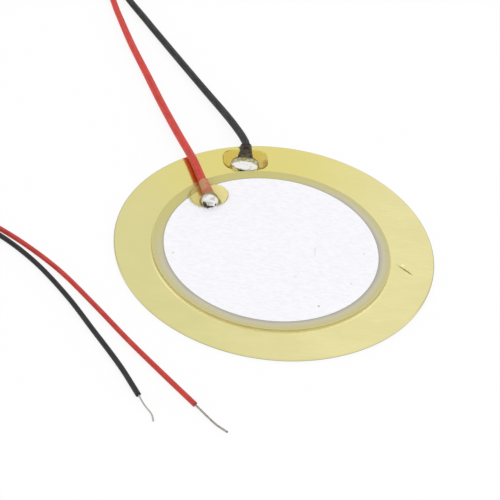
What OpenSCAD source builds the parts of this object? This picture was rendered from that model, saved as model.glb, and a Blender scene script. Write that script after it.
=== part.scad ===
// Piezo disc: a ceramic disc bonded off-centre to a brass plate, with two soldered hook-up leads.
// The plate lies flat. The origin is the centre of its underside, +Z is up through the stack and
// +Y points to the side of the plate that carries the solder joints. Lengths are millimetres.

/* [Brass plate] */
// Outside diameter of the brass plate
plate_d = 27; // [26.5:0.1:32]
// Thickness of the brass plate
plate_t = 0.3; // [0.15:0.01:0.5]
// Size of the broken corner that stamping leaves round the plate's edge
plate_edge = 0.04; // [0.01:0.01:0.06]
// Distance of the scratch in the brass from the plate's centre
scratch_reach = 11; // [10.6:0.1:12]
// Direction of the scratch from the plate's centre, in degrees
scratch_bearing = -0.7; // [-20:0.1:20]
// Length of the scratch
scratch_len = 1.8; // [0.5:0.1:2.4]
// Width of the scratch at the surface
scratch_w = 0.12; // [0.04:0.01:0.2]
// Angle of the scratch in the plane of the plate, in degrees
scratch_turn = -36; // [-90:1:90]

/* [Ceramic stack] */
// Diameter of the ceramic disc
ceramic_d = 20.1; // [19.2:0.1:20.5]
// Thickness of the ceramic disc
ceramic_t = 0.2; // [0.1:0.01:0.4]
// How far the ceramic was bonded off the plate's centre, along X
ceramic_x = -0.27; // [-0.4:0.01:0.4]
// How far the ceramic was bonded off the plate's centre, along Y
ceramic_y = -0.13; // [-0.4:0.01:0.1]
// Thickness of the adhesive between the brass and the ceramic
bond_t = 0.02; // [0.01:0.005:0.05]
// Width of the adhesive squeezed out past the ceramic's edge
bond_lip = 0.05; // [0.02:0.01:0.08]
// How far the squeezed-out adhesive climbs the ceramic's edge
bond_climb = 0.08; // [0.01:0.01:0.09]
// Width of the bare ceramic round the printed silver electrode on top
top_margin = 1; // [0.7:0.05:1.5]
// Width of the bare ceramic round the silver electrode underneath
bottom_margin = 0.55; // [0.4:0.05:1.5]
// Thickness of each silver electrode
electrode_t = 0.01; // [0.005:0.001:0.03]

/* [Signal joint, red lead] */
// Diameter of the solder ball
ball_d = 1.49; // [1.2:0.01:1.8]
// Height of the solder ball above the electrode
ball_h = 0.93; // [0.8:0.01:1.1]
// Distance from the electrode's edge in to the middle of the ball
ball_inset = 1.65; // [1:0.05:4]
// Direction of the ball from the middle of the ceramic, in degrees
ball_bearing = 139.4; // [136:0.1:144]
// Heading of the lead out of the ball, in degrees
red_heading = 111.5; // [108:0.5:114]
// Climb of the lead out of the ball, in degrees
red_climb = -1; // [-1:0.5:2]
// Height of the lead's axis above the electrode at the ball
red_axis_h = 0.44; // [0.42:0.01:0.5]

/* [Ground joint, black lead] */
// Width of the solder mound, along the rim
mound_w = 2.4; // [1.8:0.1:3]
// Depth of the solder mound, across the rim
mound_l = 1.6; // [1.2:0.1:1.7]
// Height of the solder mound above the brass
mound_h = 0.65; // [0.6:0.01:0.9]
// Gap between the solder mound and the ceramic's adhesive
mound_gap = 0.04; // [0.01:0.01:0.2]
// Direction of the mound from the middle of the ceramic, in degrees
mound_bearing = 106.6; // [100:0.1:112]
// Turn of the mound's long axis from X, in degrees
mound_turn = 3; // [-10:1:20]
// Heading of the lead out of the mound, in degrees
black_heading = 95; // [92:1:98]
// Climb of the lead out of the mound, in degrees
black_climb = 0; // [-1:0.5:2]
// Height of the lead's axis above the brass at the mound
black_axis_h = 0.45; // [0.4:0.01:0.5]

/* [Flux residue] */
// Diameter of the flux pool on the ceramic
red_pool_d = 3.5; // [2.6:0.1:3.6]
// Height of the flux pool on the ceramic
red_pool_h = 0.1; // [0.05:0.01:0.2]
// How far the pool's middle lies out from the ball's middle, along the lead
red_pool_shift = 0.8; // [0.4:0.1:0.9]
// Width of the flux pool on the brass
black_pool_w = 3.8; // [3:0.1:4]
// Depth of the flux pool on the brass
black_pool_l = 2.6; // [1.6:0.1:2.7]
// Height of the flux pool on the brass
black_pool_h = 0.24; // [0.1:0.01:0.3]
// How far the pool's middle lies out from the mound's middle, along the lead
black_pool_shift = 0.9; // [0.5:0.05:1]
// Radius of the corners of the flux pool on the brass
pool_corner = 0.9; // [0.4:0.1:0.95]
// Outside diameter of the flux that coats the end of each lead's insulation
sleeve_d = 1; // [0.86:0.01:1.1]
// Length of insulation that the flux coats on each lead
sleeve_len = 1.5; // [0.8:0.1:1.7]
// Length over which that flux thins to the insulation
sleeve_taper = 0.3; // [0.1:0.05:0.6]
// Width of the skirt of flux that holds each coated end down
skirt_w = 1.3; // [1.1:0.05:1.5]

/* [Leads] */
// Outside diameter of the insulation along most of each lead
lead_od = 0.46; // [0.4:0.01:0.5]
// Outside diameter of the insulation at the joints, where heat has drawn it back and thickened it
joint_od = 0.68; // [0.5:0.01:0.7]
// Length of lead over which that thickening dies out
swell_len = 45; // [20:1:60]
// Distance from the middle of each solder joint to the end of the insulation
strip_gap = 0.85; // [0.8:0.01:1]
// Diameter of the stranded core where it is tinned into a joint
core_d = 0.18; // [0.12:0.01:0.24]
// How far each core reaches into its solder, past the joint's middle
core_bury = 0.2; // [0:0.05:0.3]
// Diameter of one strand
strand_d = 0.06; // [0.04:0.005:0.08]
// Length in which the strands make one turn
strand_lay = 2.6; // [2.4:0.1:6]
// Diameter of the tinned end of the black lead
tinned_d = 0.17; // [0.12:0.01:0.24]

/* [Hidden] */

// Clearance between the insulation and the flux that coats it
fit_gap = 0.02;
// Clearance between one strand and the next
strand_gap = 0.004;
// Overshoot of a cutting tool past the face it cuts
cut = 0.05;
// How far inside the solder's foot the flux that coats each lead starts
flux_bite = 0.1;
// How far the top of a skirt lies inside the coat above it, on each side
skirt_tuck = 0.05;
// Share of its height that the flux pool on the brass has lost at its edge
pool_fall = 0.6;
// Width of the slope round that pool
pool_slope = 0.3;
// Steps in the curve of a low dome
cap_steps = 8;
// Share of its width that the tinned end has lost at its middle
tinned_waist = 0.2;
// Sides and rings of a lead's insulation, and of the bare wires at its end
lead_sides = 8;
lead_rings = 40;
wire_sides = 6;
tinned_sides = 10;
wire_rings = 24;

// Heights of the layers
bond_top = plate_t + bond_t;
ceramic_base = bond_top + electrode_t;
ceramic_top = ceramic_base + ceramic_t;
stack_top = ceramic_top + electrode_t;

// Diameters of the electrodes
top_electrode_d = ceramic_d - 2 * top_margin;
bottom_electrode_d = ceramic_d - 2 * bottom_margin;

// A point at a distance and a bearing from another
function reach(from, far, bearing) = [from[0] + far * cos(bearing), from[1] + far * sin(bearing)];

// Middles of the ceramic, of the solder ball and of the solder mound, seen from above
ceramic_mid = [ceramic_x, ceramic_y];
ball_mid = reach(ceramic_mid, top_electrode_d / 2 - ball_inset, ball_bearing);
mound_mid = reach(ceramic_mid, ceramic_d / 2 + bond_lip + mound_gap + mound_l / 2, mound_bearing);

// A joint as its lead meets it: the axis's point over the joint's middle, its heading and its climb
red_axis = [[ball_mid[0], ball_mid[1], stack_top + red_axis_h], red_heading, red_climb];
black_axis = [[mound_mid[0], mound_mid[1], plate_t + black_axis_h], black_heading, black_climb];

// A point on a joint's axis, a level distance out from the joint's middle
function along(axis, far) =
    concat(reach(axis[0], far, axis[1]), axis[0][2] + far * tan(axis[2]));

// A point of a lead's route that lies on the table, or is lifted above it
function laid(x, y, lift = 0) = [x, y, lift + lead_od / 2];

// Route of the red lead: straight out of the ball, over the rim, down to the table and round
red_route = [
    along(red_axis, strip_gap), along(red_axis, strip_gap + sleeve_len),
    laid(-7.21, 8.04, 0.67), laid(-7.72, 9.34, 0.63), laid(-8.3, 10.65, 0.51), laid(-9.05, 12.2, 0.41),
    laid(-9.8, 13.8, 0.31), laid(-11.2, 16.85, 0.17),
    laid(-12.9, 20.7, 0.08), laid(-14.6, 24.45, 0.07), laid(-16.15, 28.3, 0.05), laid(-17.3, 31.2, 0.04),
    laid(-19.2, 33.5, 0.03), laid(-23.1, 34.5, 0.02), laid(-26.6, 32.2, 0.01),
    laid(-27.7, 27.5), laid(-28.2, 21.0), laid(-28.8, 14.5), laid(-29.2, 8.5), laid(-28.9, 3.9),
    laid(-27.1, 0.3), laid(-23.9, -1.4), laid(-20.8, -3.4), laid(-17.4, -6.25), laid(-14.1, -9.9),
    laid(-10.9, -13.65), laid(-7.7, -17.15), laid(-4.6, -20.35)];

// Route of the black lead: out of the mound, over the rim, down to the table and outside the red
black_route = [
    along(black_axis, strip_gap), along(black_axis, strip_gap + sleeve_len),
    laid(-3.9, 13.35, 0.51), laid(-4.4, 14.35, 0.42), laid(-5.55, 16.4, 0.24), laid(-7.6, 19.4, 0.1),
    laid(-10.15, 22.95, 0.09), laid(-12.7, 26.55, 0.07), laid(-14.75, 29.45, 0.06),
    laid(-17.9, 33.6, 0.04), laid(-22.3, 35.8, 0.02), laid(-27.2, 35.0, 0.01), laid(-30.6, 31.8),
    laid(-32.2, 27.0), laid(-33.0, 21.5), laid(-33.6, 15.5), laid(-33.5, 9.5), laid(-31.9, 4.0),
    laid(-28.1, -0.1), laid(-23.4, -2.45), laid(-19.8, -5.35), laid(-16.6, -9.1), laid(-13.9, -13.0),
    laid(-11.3, -16.85), laid(-9.5, -19.95)];

// A smooth curve through a route's points, at a place counted in points from its start, and the
// middles of the rings along it
function mirrored(a, b) = 2 * a - b;
function spline(a, b, c, d, u) =
    (2 * b + (c - a) * u + (2 * a - 5 * b + 4 * c - d) * u * u + (3 * b - a - 3 * c + d) * u * u * u) / 2;
function on_route(route, place) =
    let (last = len(route) - 1, i = min(floor(place), last - 1))
    spline(i == 0 ? mirrored(route[0], route[1]) : route[i - 1], route[i], route[i + 1],
           i == last - 1 ? mirrored(route[last], route[last - 1]) : route[i + 2], place - i);
function centres(route, rings) =
    [for (k = [0 : rings - 1]) on_route(route, k * (len(route) - 1) / (rings - 1))];

// The direction of a vector, and the heading, level and upward directions of a curve at a point
function unit(v) = v / norm(v);
function heading_at(curve, k) = unit(curve[min(k + 1, len(curve) - 1)] - curve[max(k - 1, 0)]);
function level_at(curve, k) = unit(cross([0, 0, 1], heading_at(curve, k)));
function up_at(curve, k) = cross(heading_at(curve, k), level_at(curve, k));

// A point beside a curve, at a distance from it and a turn round it
function beside(curve, k, far, turn) =
    curve[k] + far * (cos(turn) * level_at(curve, k) + sin(turn) * up_at(curve, k));

// Middles of each lead's insulation
red_lead_curve = centres(red_route, lead_rings);
black_lead_curve = centres(black_route, lead_rings);

// The end of a curve, a point straight on from it, and a point of a wire that sinks to the table
function end_of(curve) = curve[len(curve) - 1];
function past(curve, far) = end_of(curve) + far * unit(end_of(curve) - curve[len(curve) - 2]);
function sunk(x, y, share, wire_d) = [x, y, (1 - share) * lead_od / 2 + share * wire_d / 2];

// Routes of the bare wires: straight out of the insulation, then down to the table
red_wire_d = 3 * strand_d + 2 * strand_gap;
red_wire_route = [
    end_of(red_lead_curve), past(red_lead_curve, 0.5), sunk(-3.5, -21.5, 0.4, red_wire_d),
    sunk(-2.7, -22.3, 0.8, red_wire_d), sunk(-1.8, -23.1, 1, red_wire_d)];
black_wire_route = [
    end_of(black_lead_curve), past(black_lead_curve, 0.5), sunk(-8.9, -21.2, 0.4, tinned_d),
    sunk(-8.2, -22.1, 0.8, tinned_d), sunk(-7.9, -23.0, 1, tinned_d)];

// A share that starts and stops gently
function eased(share) = share * share * (3 - 2 * share);

// Distance run along a curve to one of its points
function run(curve, k) = k == 0 ? 0 : run(curve, k - 1) + norm(curve[k] - curve[k - 1]);

// A closed tube with a flat-ended ring at each point of a curve; radii gives each ring's radius
module tube(curve, radii, sides) {
    rings = len(curve);
    turn = 360 / sides;
    points = [for (k = [0 : rings - 1], s = [0 : sides - 1])
        beside(curve, k, radii[k], (s + 0.5) * turn)];
    start = [[for (s = [0 : sides - 1]) s]];
    end = [[for (s = [sides - 1 : -1 : 0]) (rings - 1) * sides + s]];
    walls = [for (k = [0 : rings - 2], s = [0 : sides - 1], half = [0, 1])
        let (a = k * sides + s, b = k * sides + (s + 1) % sides)
        half == 0 ? [a, a + sides, b] : [b, a + sides, b + sides]];
    polyhedron(points, concat(start, end, walls));
}

// A low dome of a given diameter and height, standing on z = 0
module cap(d, h) {
    r = (d * d / 4 + h * h) / (2 * h);
    reach_deg = asin(d / 2 / r);
    arc = [for (k = [cap_steps : -1 : 0]) let (a = reach_deg * k / cap_steps)
        [r * sin(a), r * cos(a) - r + h]];
    rotate_extrude($fn = 96) polygon(concat([[0, 0]], arc));
}

// Four round posts that mark the corners of a slab, standing on z = 0
module corner_posts(w, l, h, r) {
    for (x = [-1, 1], y = [-1, 1]) translate([x * (w / 2 - r), y * (l / 2 - r), 0])
        cylinder(r = r, h = h, $fn = 32);
}

// A slab with round corners and a sloping rim, standing on z = 0
module round_slab(w, l, h, r) {
    hull() {
        corner_posts(w, l, h * (1 - pool_fall), r);
        corner_posts(w - 2 * pool_slope, l - 2 * pool_slope, h, r);
    }
}

// A round bar on a joint's axis, between two level distances from the joint's middle
module on_axis(axis, from, to, d) {
    climb = axis[2];
    translate(axis[0]) rotate([0, 90 - climb, axis[1]]) translate([0, 0, from / cos(climb)])
        cylinder(d = d, h = (to - from) / cos(climb), $fn = 32);
}

// The stamped blank, with its corners broken all round
module plate_blank() {
    r = plate_d / 2;
    rotate_extrude($fn = 180) polygon([
        [0, 0], [r - plate_edge, 0], [r, plate_edge],
        [r, plate_t - plate_edge], [r - plate_edge, plate_t], [0, plate_t]]);
}

module brass_plate() {
    color([0.87, 0.84, 0.58]) difference() {
        plate_blank();
        scratch();
    }
}

// A V groove in the plate's top face, with its walls square to each other
module scratch() {
    wall = scratch_w / sqrt(2);
    rotate(scratch_bearing) translate([scratch_reach, 0, plate_t])
        rotate(scratch_turn - scratch_bearing) rotate([45, 0, 0])
            cube([scratch_len, wall, wall], center = true);
}

module bond_layer() {
    r = ceramic_d / 2;
    color([0.55, 0.52, 0.32]) difference() {
        translate(ceramic_mid) rotate_extrude($fn = 180) polygon([
            [0, plate_t], [r + bond_lip, plate_t], [r, ceramic_base + bond_climb], [r, ceramic_base],
            [0, ceramic_base]]);
        bottom_electrode();
    }
}

module bottom_electrode() {
    color([0.93, 0.93, 0.93]) translate([ceramic_x, ceramic_y, bond_top])
        cylinder(d = bottom_electrode_d, h = electrode_t, $fn = 180);
}

module ceramic_disc() {
    color([0.8, 0.77, 0.6]) translate([ceramic_x, ceramic_y, ceramic_base])
        cylinder(d = ceramic_d, h = ceramic_t, $fn = 180);
}

module top_electrode() {
    color([0.96, 0.96, 0.97]) translate([ceramic_x, ceramic_y, ceramic_top])
        cylinder(d = top_electrode_d, h = electrode_t, $fn = 180);
}

// The solder ball, cut flat where it wets the electrode
module ball() {
    translate(ball_mid) intersection() {
        translate([0, 0, stack_top + ball_h - ball_d / 2]) sphere(d = ball_d, $fn = 64);
        translate([-ball_d, -ball_d, stack_top]) cube(2 * ball_d);
    }
}

// The solder mound, half of a ball drawn out along the rim
module mound() {
    translate([mound_mid[0], mound_mid[1], plate_t]) rotate(mound_turn) intersection() {
        scale([mound_w / 2, mound_l / 2, mound_h]) sphere(1, $fn = 40);
        translate([-mound_w, -mound_l, 0]) cube(2 * mound_w);
    }
}

// The tinned end of a lead's core, from inside the solder to the end of the insulation
module core(axis) {
    on_axis(axis, -core_bury, strip_gap, core_d);
}

module red_core() {
    color([0.75, 0.74, 0.7]) core(red_axis);
}

module black_core() {
    color([0.75, 0.74, 0.7]) core(black_axis);
}

module red_solder() {
    color([0.8, 0.8, 0.82]) difference() {
        ball();
        core(red_axis);
    }
}

module black_solder() {
    color([0.8, 0.8, 0.82]) difference() {
        mound();
        core(black_axis);
    }
}

// A joint's flux is drawn along its lead: from inside the solder, whose foot reaches a distance out
// from the joint's middle, to the coat's end. The children get the length of that run
module along_lead(axis, solder_reach) {
    climb = axis[2];
    start = solder_reach - flux_bite;
    $flux_run = (strip_gap + sleeve_len - start) / cos(climb);
    translate(axis[0]) rotate([0, -climb, axis[1]]) translate([start / cos(climb), 0, 0])
        rotate([90, 0, 90]) children();
}

// Flux that coats the end of the insulation, thinning towards its far end
module coat(axis, solder_reach) {
    along_lead(axis, solder_reach) rotate_extrude($fn = 32) polygon([
        [0, 0], [sleeve_d / 2, 0], [sleeve_d / 2, $flux_run - sleeve_taper],
        [joint_od / 2 + 2 * fit_gap, $flux_run], [0, $flux_run]]);
}

// The skirt of flux under a coat, which widens down to the surface it stands on, a depth under the axis
module skirt(axis, solder_reach, depth) {
    half_top = sleeve_d / 2 - skirt_tuck;
    along_lead(axis, solder_reach) linear_extrude($flux_run) polygon([
        [half_top - skirt_w, -2 * depth], [skirt_w - half_top, -2 * depth],
        [half_top, 0], [-half_top, 0]]);
}

// The bores that the core and the insulation lie in where flux surrounds them
module lead_space(axis) {
    sleeve_bore = joint_od + 2 * fit_gap;
    on_axis(axis, 0, strip_gap + cut, core_d);
    on_axis(axis, strip_gap, strip_gap + sleeve_len + cut, sleeve_bore);
}

module red_flux() {
    mid = reach(ball_mid, red_pool_shift, red_heading);
    color([0.86, 0.78, 0.45, 0.8]) difference() {
        intersection() {
            union() {
                translate([mid[0], mid[1], ceramic_top]) cap(red_pool_d, red_pool_h + electrode_t);
                coat(red_axis, ball_d / 2);
                skirt(red_axis, ball_d / 2, red_axis_h + electrode_t);
            }
            // The resin stops at the ceramic's edge, on its face
            translate([ceramic_x, ceramic_y, ceramic_top]) cylinder(d = ceramic_d, h = plate_d, $fn = 180);
        }
        top_electrode();
        ball();
        lead_space(red_axis);
    }
}

module black_flux() {
    mid = reach(mound_mid, black_pool_shift, black_heading);
    color([0.8, 0.66, 0.25, 0.8]) difference() {
        union() {
            // The pool and the skirt stop at the plate's broken edge, on its face
            intersection() {
                union() {
                    translate([mid[0], mid[1], plate_t]) rotate(mound_turn)
                        round_slab(black_pool_w, black_pool_l, black_pool_h, pool_corner);
                    skirt(black_axis, mound_l / 2, black_axis_h);
                }
                translate([0, 0, plate_t]) cylinder(d = plate_d - 2 * plate_edge, h = plate_d, $fn = 180);
            }
            // The coat stays on its lead where that crosses the rim
            intersection() {
                coat(black_axis, mound_l / 2);
                translate([0, 0, plate_t]) cylinder(d = 2 * plate_d, h = plate_d);
            }
        }
        translate(ceramic_mid) cylinder(d = ceramic_d + 2 * bond_lip, h = plate_d, $fn = 180);
        mound();
        lead_space(black_axis);
    }
}

// A lead's insulation, thickest at its joint
module insulation(curve) {
    tube(curve, [for (k = [0 : lead_rings - 1])
        lead_od / 2 + (joint_od - lead_od) / 2 * (1 - eased(min(run(curve, k) / swell_len, 1)))],
        lead_sides);
}

module red_insulation() {
    color([0.8, 0.2, 0.18]) insulation(red_lead_curve);
}

module black_insulation() {
    color([0.16, 0.16, 0.16]) insulation(black_lead_curve);
}

// Six strands laid round a seventh, as they are where the insulation is stripped
module red_strands() {
    curve = centres(red_wire_route, wire_rings);
    radii = [for (k = curve) strand_d / 2];
    color([0.7, 0.62, 0.5]) {
        tube(curve, radii, wire_sides);
        for (strand = [0 : 5]) tube([for (k = [0 : wire_rings - 1])
            beside(curve, k, strand_d + strand_gap, 60 * strand + 360 * run(curve, k) / strand_lay)],
            radii, wire_sides);
    }
}

// The strands of the black lead's end, tinned into one wire that is a little slimmer in its middle
module black_tinned_end() {
    curve = centres(black_wire_route, wire_rings);
    color([0.72, 0.72, 0.7]) tube(curve, [for (k = [0 : wire_rings - 1])
        tinned_d / 2 * (1 - tinned_waist * sin(180 * k / (wire_rings - 1)))], tinned_sides);
}

brass_plate();
bond_layer();
bottom_electrode();
ceramic_disc();
top_electrode();
red_solder();
black_solder();
red_flux();
black_flux();
red_core();
black_core();
red_insulation();
black_insulation();
red_strands();
black_tinned_end();
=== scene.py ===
"""Finishes a soldered piezo disc, and models its leads, bare ends, solder and flux round its solids."""

import math
from collections import namedtuple

import bmesh
import bpy
from bpy.props import FloatProperty, FloatVectorProperty, PointerProperty
from mathutils import Matrix, Vector


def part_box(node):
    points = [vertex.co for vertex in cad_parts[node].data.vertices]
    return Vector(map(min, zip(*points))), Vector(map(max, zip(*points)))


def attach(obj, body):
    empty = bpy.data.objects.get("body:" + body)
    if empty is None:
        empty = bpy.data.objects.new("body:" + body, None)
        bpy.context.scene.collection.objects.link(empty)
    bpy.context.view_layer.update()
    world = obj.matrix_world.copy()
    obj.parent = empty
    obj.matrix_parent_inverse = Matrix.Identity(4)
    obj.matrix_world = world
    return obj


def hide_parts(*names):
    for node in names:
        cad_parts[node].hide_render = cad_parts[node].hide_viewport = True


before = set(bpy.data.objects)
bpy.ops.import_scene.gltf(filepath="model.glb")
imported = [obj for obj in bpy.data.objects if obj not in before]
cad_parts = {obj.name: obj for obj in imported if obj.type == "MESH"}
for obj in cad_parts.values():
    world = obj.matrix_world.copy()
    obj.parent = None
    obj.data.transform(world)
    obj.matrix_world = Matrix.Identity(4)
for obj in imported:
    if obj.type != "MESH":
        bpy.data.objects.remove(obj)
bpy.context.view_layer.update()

bl_info = {
    "name": "Piezo disc",
    "version": (1, 0, 0),
    "blender": (4, 5, 0),
    "location": "3D View > Sidebar > Piezo disc",
    "description": "Models the leads, solder and flux of a piezo disc and gives every piece its finish",
    "category": "Object",
}

MM = 0.001

# Lowest and highest corners of the solids that the pieces below stand on or take the place of
BALL_LOW, BALL_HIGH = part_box("red_solder")
MOUND_LOW, MOUND_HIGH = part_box("black_solder")
SILVER_LOW, SILVER_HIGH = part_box("top_electrode")
CERAMIC_LOW, CERAMIC_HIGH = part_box("ceramic_disc")
PLATE_LOW, PLATE_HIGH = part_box("brass_plate")
SILVER_TOP = SILVER_HIGH.z
BRASS_TOP = PLATE_HIGH.z


def middle(low, high, height):
    """The middle of a box seen from above, at a height."""
    return Vector(((low.x + high.x) / 2, (low.y + high.y) / 2, height))


BALL_FOOT = middle(BALL_LOW, BALL_HIGH, SILVER_TOP)
MOUND_FOOT = middle(MOUND_LOW, MOUND_HIGH, BRASS_TOP)
CERAMIC_MID = middle(CERAMIC_LOW, CERAMIC_HIGH, SILVER_TOP)
SILVER_RADIUS = (SILVER_HIGH.x - SILVER_LOW.x) / 2
CERAMIC_RADIUS = (CERAMIC_HIGH.x - CERAMIC_LOW.x) / 2

# A joint's axis: where it starts over the joint's foot, and its heading and climb in degrees
Axis = namedtuple("Axis", "start heading climb")
RED_AXIS = Axis(BALL_FOOT + Vector((0, 0, 0.44 * MM)), 111.5, -1)
BLACK_AXIS = Axis(MOUND_FOOT + Vector((0, 0, 0.45 * MM)), 95, 0)

# Level distances from a joint's middle. The coat of flux starts inside the solder, and the insulation starts
# at the gap; both lie together up to the sleeve's end
COAT_START = 0.4 * MM
STRIP_GAP = 0.85 * MM
SLEEVE_END = STRIP_GAP + 1.5 * MM

# Wires. The strands' lay is the run in which the outer ones turn once round the middle one
LEAD_DIAMETER = 0.46 * MM
OUTER_STRANDS = 6
STRAND_DIAMETER = 0.06 * MM
STRAND_GAP = 0.004 * MM
STRANDS_DIAMETER = 3 * STRAND_DIAMETER + 2 * STRAND_GAP
STRAND_LAY = 2.6 * MM
TINNED_DIAMETER = 0.17 * MM

# Thickness at distances along each lead, thickest where soldering heated it, all in millimetres
RED_THICKNESS = [(0, 0.7), (8, 0.69), (14, 0.66), (20, 0.6), (27, 0.53), (45, 0.45), (85, 0.43), (103, 0.47)]
BLACK_THICKNESS = [(0, 0.66), (5, 0.64), (12, 0.6), (20, 0.58), (25, 0.54), (45, 0.44), (85, 0.43),
                   (104, 0.475)]
TINNED_THICKNESS = [(0, 0.17), (1.2, 0.14), (2.6, 0.135), (3.3, 0.16), (3.6, 0.165), (3.72, 0.1)]

# Marks. Each speck on the silver has its place, width and depth in millimetres, and how dark it is
SPECKS = [(-8.36, -2.3, 0.08, 0.1, 0.45), (7.49, 0.88, 0.08, 0.08, 0.35), (6.71, -3.15, 0.08, 0.08, 0.35),
          (4.28, -6.51, 0.08, 0.1, 0.9), (3.38, 0.45, 0.05, 0.5, 0.22), (2.05, -3.2, 0.16, 0.16, 0.16)]
SCRATCH_MID = Vector((11 * MM, -0.134 * MM, BRASS_TOP))
SCRATCH_TURN = -36
# Middle of the painted highlight on the scratch's raised burr
BURR_HIGHLIGHT_MID = Vector((10.85 * MM, 0.38 * MM, BRASS_TOP))

# Turn of the mound in degrees, how far the flux sinks below the face that it wets, and the depth of flux that
# its colours are given for
MOUND_TURN = 3
FLUX_SINK = 0.008 * MM
FLUX_DEPTH = 0.2 * MM

# How finely curves and bodies are divided. Each bare wire starts some steps inside its insulation
SPLINE_STEPS = 12
HEADING_STEPS = 40
LEAD_STEP = 0.2 * MM
LEAD_SIDES = 24
STRAND_STEP = 0.05 * MM
STRAND_SIDES = 10
STRAND_START = 6
TINNED_STEP = 0.04 * MM
TINNED_SIDES = 16
TINNED_START = 7
EGG_SIDES = 72
EGG_RINGS = 48
BAR_SIDES = 48
SOLDER_VOXEL = 0.02 * MM
FLUX_VOXEL = 0.025 * MM


def on_axis(axis, far):
    """The point of a joint's axis that lies a level distance out from the joint's middle."""
    turn = math.radians(axis.heading)
    rise = math.tan(math.radians(axis.climb))
    return axis.start + far * Vector((math.cos(turn), math.sin(turn), rise))


def laid(x, y, lift=0):
    """A point of a lead's route in millimetres, lying on the table or lifted above it."""
    return Vector((x * MM, y * MM, lift * MM + LEAD_DIAMETER / 2))


# Route of each lead: straight out of its joint, over the rim, down to the table and round
RED_ROUTE = [
    on_axis(RED_AXIS, STRIP_GAP), on_axis(RED_AXIS, SLEEVE_END),
    laid(-7.21, 8.04, 0.67), laid(-7.72, 9.34, 0.63), laid(-8.3, 10.65, 0.51), laid(-9.05, 12.2, 0.41),
    laid(-9.8, 13.8, 0.31), laid(-11.2, 16.85, 0.17), laid(-12.9, 20.7, 0.08), laid(-14.6, 24.45, 0.07),
    laid(-16.15, 28.3, 0.05), laid(-17.3, 31.2, 0.04), laid(-19.2, 33.5, 0.03), laid(-23.1, 34.5, 0.02),
    laid(-26.6, 32.2, 0.01), laid(-27.7, 27.5), laid(-28.2, 21.0), laid(-28.8, 14.5), laid(-29.2, 8.5),
    laid(-28.9, 3.9), laid(-27.1, 0.3), laid(-23.9, -1.4), laid(-20.8, -3.4), laid(-17.4, -6.25),
    laid(-14.1, -9.9), laid(-10.9, -13.65), laid(-7.7, -17.15), laid(-4.73, -20.32)]
BLACK_ROUTE = [
    on_axis(BLACK_AXIS, STRIP_GAP), on_axis(BLACK_AXIS, SLEEVE_END),
    laid(-3.84, 13.35, 0.51), laid(-4.34, 14.37, 0.42), laid(-5.53, 16.4, 0.24), laid(-7.6, 19.4, 0.1),
    laid(-10.15, 22.95, 0.09), laid(-12.7, 26.55, 0.07), laid(-14.75, 29.45, 0.06), laid(-17.9, 33.6, 0.04),
    laid(-22.3, 35.8, 0.02), laid(-27.2, 35.0, 0.01), laid(-30.6, 31.8), laid(-32.2, 27.0),
    laid(-33.0, 21.5), laid(-33.6, 15.5), laid(-33.5, 9.5), laid(-31.9, 4.0), laid(-28.1, -0.1),
    laid(-23.4, -2.45), laid(-19.8, -5.35), laid(-16.6, -9.1), laid(-13.9, -13.0), laid(-11.3, -16.85),
    laid(-9.42, -20.1)]


# ---------------------------------------------------------------- curves


def spline(route, steps):
    """Points of the smooth curve through a route, the same number of steps from each point to the next."""
    ends = [2 * route[0] - route[1]] + list(route) + [2 * route[-1] - route[-2]]
    points = []
    for a, b, c, d in zip(ends, ends[1:], ends[2:], ends[3:]):
        for step in range(steps):
            u = step / steps
            points.append((2 * b + (c - a) * u + (2 * a - 5 * b + 4 * c - d) * u ** 2
                           + (3 * b - a - 3 * c + d) * u ** 3) / 2)
    return points + [route[-1].copy()]


def even(points, gap):
    """The same curve with its points an even gap apart."""
    runs = travelled(points)
    count = max(2, round(runs[-1] / gap))
    result, k = [], 0
    for i in range(count + 1):
        at = runs[-1] * i / count
        while k < len(runs) - 2 and runs[k + 1] < at:
            k += 1
        share = (at - runs[k]) / (runs[k + 1] - runs[k])
        result.append(points[k].lerp(points[k + 1], share))
    return result


def travelled(points):
    """Distance along a curve to each of its points."""
    runs = [0.0]
    for a, b in zip(points, points[1:]):
        runs.append(runs[-1] + (b - a).length)
    return runs


def path_along(route, step):
    """Points of the smooth curve through a route, an even step apart."""
    return even(spline(route, SPLINE_STEPS), step)


def carried_back(path, count):
    """The same path, carried straight back from its start by a number of points."""
    step = path[1] - path[0]
    return [path[0] - step * k for k in range(count, 0, -1)] + path


def frames_along(points):
    """The heading, a level direction and an upward direction at each point of a curve."""
    frames = []
    for i in range(len(points)):
        heading = (points[min(i + 1, len(points) - 1)] - points[max(i - 1, 0)]).normalized()
        level = Vector((0, 0, 1)).cross(heading).normalized()
        frames.append((heading, level, heading.cross(level)))
    return frames


def blend(places, at):
    """A value that runs smoothly between the (distance, value) pairs in places."""
    if at <= places[0][0]:
        return places[0][1]
    for (a, low), (b, high) in zip(places, places[1:]):
        if at <= b:
            share = (at - a) / (b - a)
            return low + (high - low) * share * share * (3 - 2 * share)
    return places[-1][1]


def ring(bm, centre, level, up, radius, sides):
    """A ring of vertices round a point."""
    turns = [2 * math.pi * s / sides for s in range(sides)]
    return [bm.verts.new(centre + radius * (math.cos(t) * level + math.sin(t) * up)) for t in turns]


def bridge(bm, first, second):
    """The wall between two rings."""
    for s in range(len(first)):
        t = (s + 1) % len(first)
        bm.faces.new((first[s], first[t], second[t], second[s]))


def sweep(bm, points, radii, sides):
    """A closed tube along a curve, with a radius at each of its points."""
    rings = []
    for point, radius, (_, level, up) in zip(points, radii, frames_along(points)):
        rings.append(ring(bm, point, level, up, radius, sides))
    for first, second in zip(rings, rings[1:]):
        bridge(bm, first, second)
    bm.faces.new(list(reversed(rings[0])))
    bm.faces.new(rings[-1])


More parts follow.
